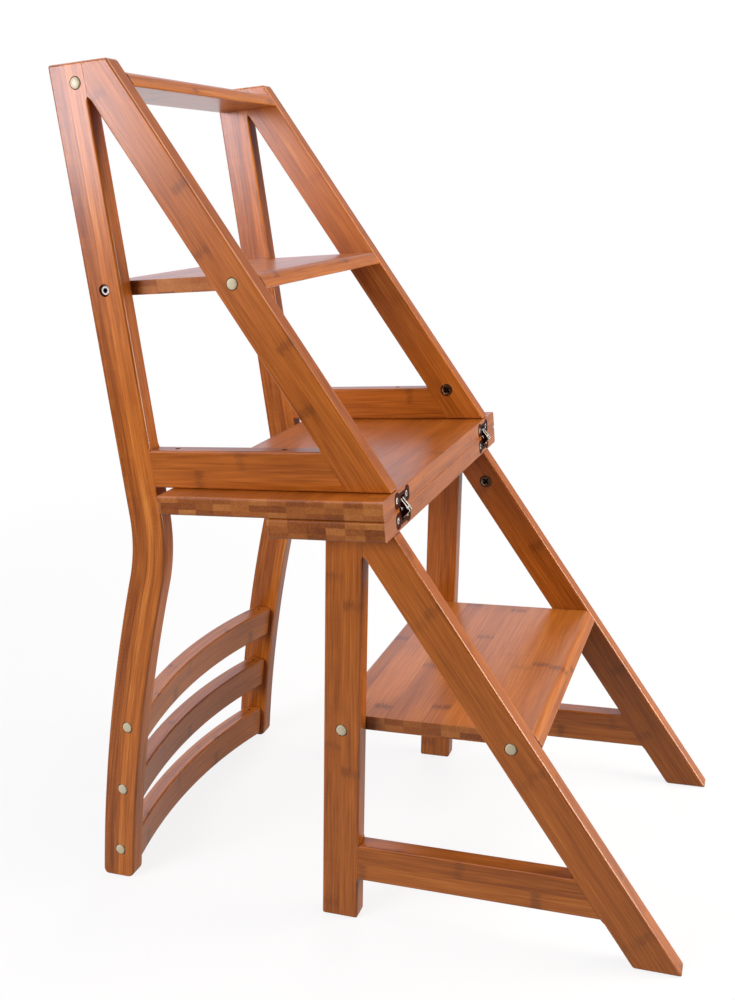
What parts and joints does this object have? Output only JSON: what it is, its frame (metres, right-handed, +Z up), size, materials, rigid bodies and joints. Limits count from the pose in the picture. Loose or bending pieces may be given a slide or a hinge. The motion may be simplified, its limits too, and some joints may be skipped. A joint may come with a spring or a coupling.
{
  "type": "library step chair",
  "caption": "Folding library chair of laminated bamboo, standing as a stepladder: flat treads between leaning frames, seat boards hinged at the front edge, bowed back slats near the floor.",
  "frame": {"origin": "on the floor, under the middle of the bounding box, with the object standing as a ladder", "axes": "+X towards the climbing side, +Z up, +Y across the treads towards the side frame that is far from the camera"},
  "size_m": [0.6575, 0.42, 0.9],
  "materials": {
    "bamboo": "carbonised bamboo under satin lacquer",
    "cap": "smooth cream plastic",
    "bright_steel": "bright, lightly worn",
    "dark_steel": "dark bronzed"
  },
  "bodies": {
    "lower_frame": {"cap_low_tread_front_far": "cap", "cap_low_tread_front_near": "cap", "cap_low_tread_rear_far": "cap", "cap_low_tread_rear_near": "cap", "hinge_leaf_lower_far": "dark_steel", "hinge_leaf_lower_near": "dark_steel", "hinge_screw_lower_far_1": "bright_steel", "hinge_screw_lower_far_2": "bright_steel", "hinge_screw_lower_near_1": "bright_steel", "hinge_screw_lower_near_2": "bright_steel", "low_tread": "bamboo", "lower_diagonal_far": "bamboo", "lower_diagonal_near": "bamboo", "lower_leg_far": "bamboo", "lower_leg_near": "bamboo", "nut_lower_far": "dark_steel", "nut_lower_near": "dark_steel", "seat_board_lower": "bamboo", "stretcher_far": "bamboo", "stretcher_near": "bamboo"},
    "upper_frame": {"apron_far": "bamboo", "apron_near": "bamboo", "back_slat_1": "bamboo", "back_slat_2": "bamboo", "back_slat_3": "bamboo", "bolt_mid_tread_rear_far": "bright_steel", "bolt_mid_tread_rear_near": "bright_steel", "cap_back_slat_1_far": "cap", "cap_back_slat_1_near": "cap", "cap_back_slat_2_far": "cap", "cap_back_slat_2_near": "cap", "cap_back_slat_3_far": "cap", "cap_back_slat_3_near": "cap", "cap_mid_tread_front_far": "cap", "cap_mid_tread_front_near": "cap", "cap_top_tread_far": "cap", "cap_top_tread_near": "cap", "hinge_leaf_upper_far": "dark_steel", "hinge_leaf_upper_near": "dark_steel", "hinge_screw_upper_far_1": "bright_steel", "hinge_screw_upper_far_2": "bright_steel", "hinge_screw_upper_near_1": "bright_steel", "hinge_screw_upper_near_2": "bright_steel", "mid_tread": "bamboo", "nut_upper_far": "dark_steel", "nut_upper_near": "dark_steel", "post_far": "bamboo", "post_near": "bamboo", "seat_board_upper": "bamboo", "top_tread": "bamboo", "upper_diagonal_far": "bamboo", "upper_diagonal_near": "bamboo"},
    "near_links": {"hinge_links_near": "bright_steel"},
    "far_links": {"hinge_links_far": "bright_steel"}
  },
  "joints": [
    {"name": "fold", "type": "hinge", "parent": "lower_frame", "child": "upper_frame", "pos_m": [0.072, 0, 0.45], "axis": [0, 1, 0], "range_deg": [0, 180]},
    {"name": "near_links_turn", "type": "hinge", "parent": "lower_frame", "child": "near_links", "pos_m": [0.072, 0, 0.45], "axis": [0, 1, 0], "range_deg": [0, 90]},
    {"name": "far_links_turn", "type": "hinge", "parent": "lower_frame", "child": "far_links", "pos_m": [0.072, 0, 0.45], "axis": [0, 1, 0], "range_deg": [0, 90]}
  ],
  "couplings": [
    {"joint": "near_links_turn", "follows": "fold", "ratio": 0.5},
    {"joint": "far_links_turn", "follows": "fold", "ratio": 0.5}
  ]
}
